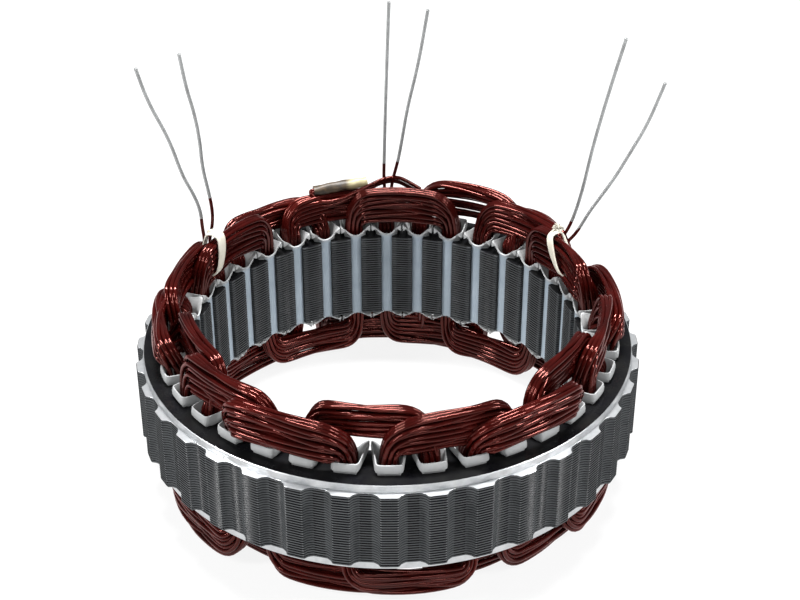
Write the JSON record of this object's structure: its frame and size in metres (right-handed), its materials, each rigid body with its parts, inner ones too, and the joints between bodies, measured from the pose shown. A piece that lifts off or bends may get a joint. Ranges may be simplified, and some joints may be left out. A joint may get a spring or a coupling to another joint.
{
  "type": "alternator stator",
  "caption": "Wound stator of a car alternator: ribbed laminated ring core with lined slots, wave-wound enamelled coils at both ends and stiff tinned leads standing up.",
  "frame": {"origin": "on the bore axis, in the core's lower end face", "axes": "+Z along the bore axis towards the end with the leads; +Y towards the middle pair of leads"},
  "size_m": [0.1337, 0.127, 0.1055],
  "materials": {
    "core_steel": "dark lacquered sheet steel edges with bright turned bands and rib lands",
    "liner_paper": "pale grey-white laminated insulation paper",
    "winding_enamel": "dark red-brown enamelled copper wire, varnished",
    "tinned_wire": "tinned copper, dull bright",
    "lacing_tape": "off-white woven lacing tape, varnish soaked",
    "sleeve_varnish": "varnished sleeving, pale yellow at one end and dark brown along the rest"
  },
  "bodies": {
    "root": {"lamination_stack": "core_steel", "slot_liner_01": "liner_paper", "slot_liner_02": "liner_paper", "slot_liner_03": "liner_paper", "slot_liner_04": "liner_paper", "slot_liner_05": "liner_paper", "slot_liner_06": "liner_paper", "slot_liner_07": "liner_paper", "slot_liner_08": "liner_paper", "slot_liner_09": "liner_paper", "slot_liner_10": "liner_paper", "slot_liner_11": "liner_paper", "slot_liner_12": "liner_paper", "slot_liner_13": "liner_paper", "slot_liner_14": "liner_paper", "slot_liner_15": "liner_paper", "slot_liner_16": "liner_paper", "slot_liner_17": "liner_paper", "slot_liner_18": "liner_paper", "slot_liner_19": "liner_paper", "slot_liner_20": "liner_paper", "slot_liner_21": "liner_paper", "slot_liner_22": "liner_paper", "slot_liner_23": "liner_paper", "slot_liner_24": "liner_paper", "slot_liner_25": "liner_paper", "slot_liner_26": "liner_paper", "slot_liner_27": "liner_paper", "slot_liner_28": "liner_paper", "slot_liner_29": "liner_paper", "slot_liner_30": "liner_paper", "slot_liner_31": "liner_paper", "slot_liner_32": "liner_paper", "slot_liner_33": "liner_paper", "slot_liner_34": "liner_paper", "slot_liner_35": "liner_paper", "slot_liner_36": "liner_paper", "phase_a_winding": "winding_enamel", "phase_b_winding": "winding_enamel", "phase_c_winding": "winding_enamel", "lead_left_1": "tinned_wire", "lead_left_2": "tinned_wire", "lead_middle_1": "tinned_wire", "lead_middle_2": "tinned_wire", "lead_right_1": "tinned_wire", "lead_right_2": "tinned_wire", "tie_left": "lacing_tape", "tie_right": "lacing_tape", "star_point_sleeve": "sleeve_varnish", "star_point_splice": "winding_enamel"}
  },
  "joints": []
}
